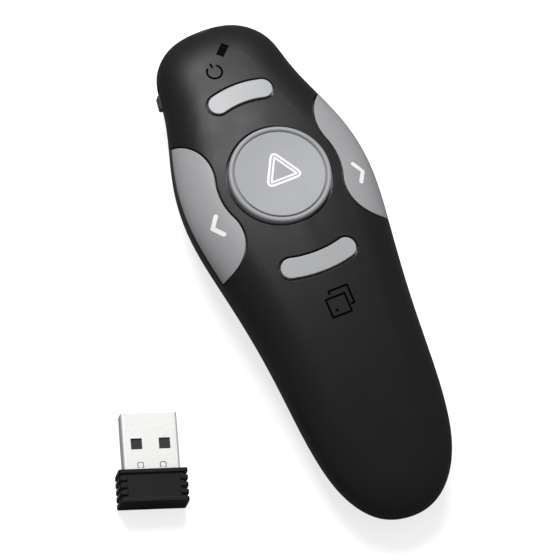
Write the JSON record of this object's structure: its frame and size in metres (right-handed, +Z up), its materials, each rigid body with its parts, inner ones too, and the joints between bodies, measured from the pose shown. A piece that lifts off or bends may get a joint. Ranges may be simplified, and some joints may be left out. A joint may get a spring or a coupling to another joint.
{
  "type": "wireless presentation clicker",
  "caption": "Hand-held wireless presentation remote with round laser button, side and small curved keys, power slide, battery cover and plug-in receiver.",
  "frame": {"origin": "on the desk, in the flat of the underside, under the middle of the body's length and width", "axes": "+X to the right across the body, +Y from tail to laser end, +Z up from the desk through the keys"},
  "size_m": [0.078, 0.115, 0.0237],
  "materials": {
    "casing_black": "satin, very fine texture",
    "key_grey": "satin, smooth",
    "inner_black": "smooth",
    "board_green": "solder resist over woven glass",
    "switch_steel": "stamped sheet",
    "capacitor_tan": "fired",
    "lamp_lens": "moulded",
    "smoked_clear": "polished",
    "cell_jacket": "printed film over steel",
    "contact_nickel": "nickel-plated",
    "laser_brass": "turned",
    "lens_glass": "polished",
    "lead_red": "smooth insulation",
    "laser_red": "polished, tinted",
    "screw_steel": "zinc-plated",
    "grip_black": "satin",
    "plug_nickel": "nickel-plated sheet",
    "contact_gold": "gold-plated"
  },
  "bodies": {
    "casing": {"upper_shell": "casing_black", "lower_shell": "casing_black", "circuit_board": "board_green", "key_switches": "switch_steel", "radio_chip": "inner_black", "crystal": "switch_steel", "chip_capacitors": "capacitor_tan", "status_led": "lamp_lens", "light_guide": "smoked_clear", "slide_switch": "switch_steel", "battery_cell": "cell_jacket", "battery_plate": "contact_nickel", "battery_spring": "contact_nickel", "laser_module": "laser_brass", "laser_lens": "lens_glass", "laser_leads": "lead_red", "laser_window": "laser_red", "board_screws": "screw_steel", "shell_screws": "screw_steel"},
    "laser_button": {"laser_button": "key_grey", "laser_plunger": "inner_black"},
    "left_key": {"left_key": "key_grey", "left_plunger": "inner_black"},
    "right_key": {"right_key": "key_grey", "right_plunger": "inner_black"},
    "upper_key": {"upper_key": "key_grey", "upper_plunger": "inner_black"},
    "lower_key": {"lower_key": "key_grey", "lower_plunger": "inner_black"},
    "power_knob": {"power_knob": "casing_black", "slide_lever": "inner_black"},
    "battery_door": {"battery_door": "casing_black"},
    "receiver": {"receiver_grip": "grip_black", "receiver_plug": "plug_nickel", "receiver_tongue": "inner_black", "receiver_contacts": "contact_gold", "receiver_board": "board_green"}
  },
  "joints": [
    {"name": "laser_button_press", "type": "slide", "parent": "casing", "child": "laser_button", "axis": [0, 0, -1], "range_m": [0, 0.00035], "stiffness_N_per_m": 2000},
    {"name": "left_key_press", "type": "slide", "parent": "casing", "child": "left_key", "axis": [0, 0, -1], "range_m": [0, 0.00035], "stiffness_N_per_m": 2000},
    {"name": "right_key_press", "type": "slide", "parent": "casing", "child": "right_key", "axis": [0, 0, -1], "range_m": [0, 0.00035], "stiffness_N_per_m": 2000},
    {"name": "upper_key_press", "type": "slide", "parent": "casing", "child": "upper_key", "axis": [0, 0, -1], "range_m": [0, 0.00035], "stiffness_N_per_m": 2000},
    {"name": "lower_key_press", "type": "slide", "parent": "casing", "child": "lower_key", "axis": [0, 0, -1], "range_m": [0, 0.00035], "stiffness_N_per_m": 2000},
    {"name": "power_slide", "type": "slide", "parent": "casing", "child": "power_knob", "axis": [0.1654, 0.9862, 0], "range_m": [0, 0.0016]},
    {"name": "battery_door_slide", "type": "slide", "parent": "casing", "child": "battery_door", "axis": [0, -1, 0], "range_m": [0, 0.035]},
    {"name": "receiver_lift", "type": "slide", "parent": "casing", "child": "receiver", "axis": [0, 0, 1], "range_m": [0, 0.05]}
  ]
}
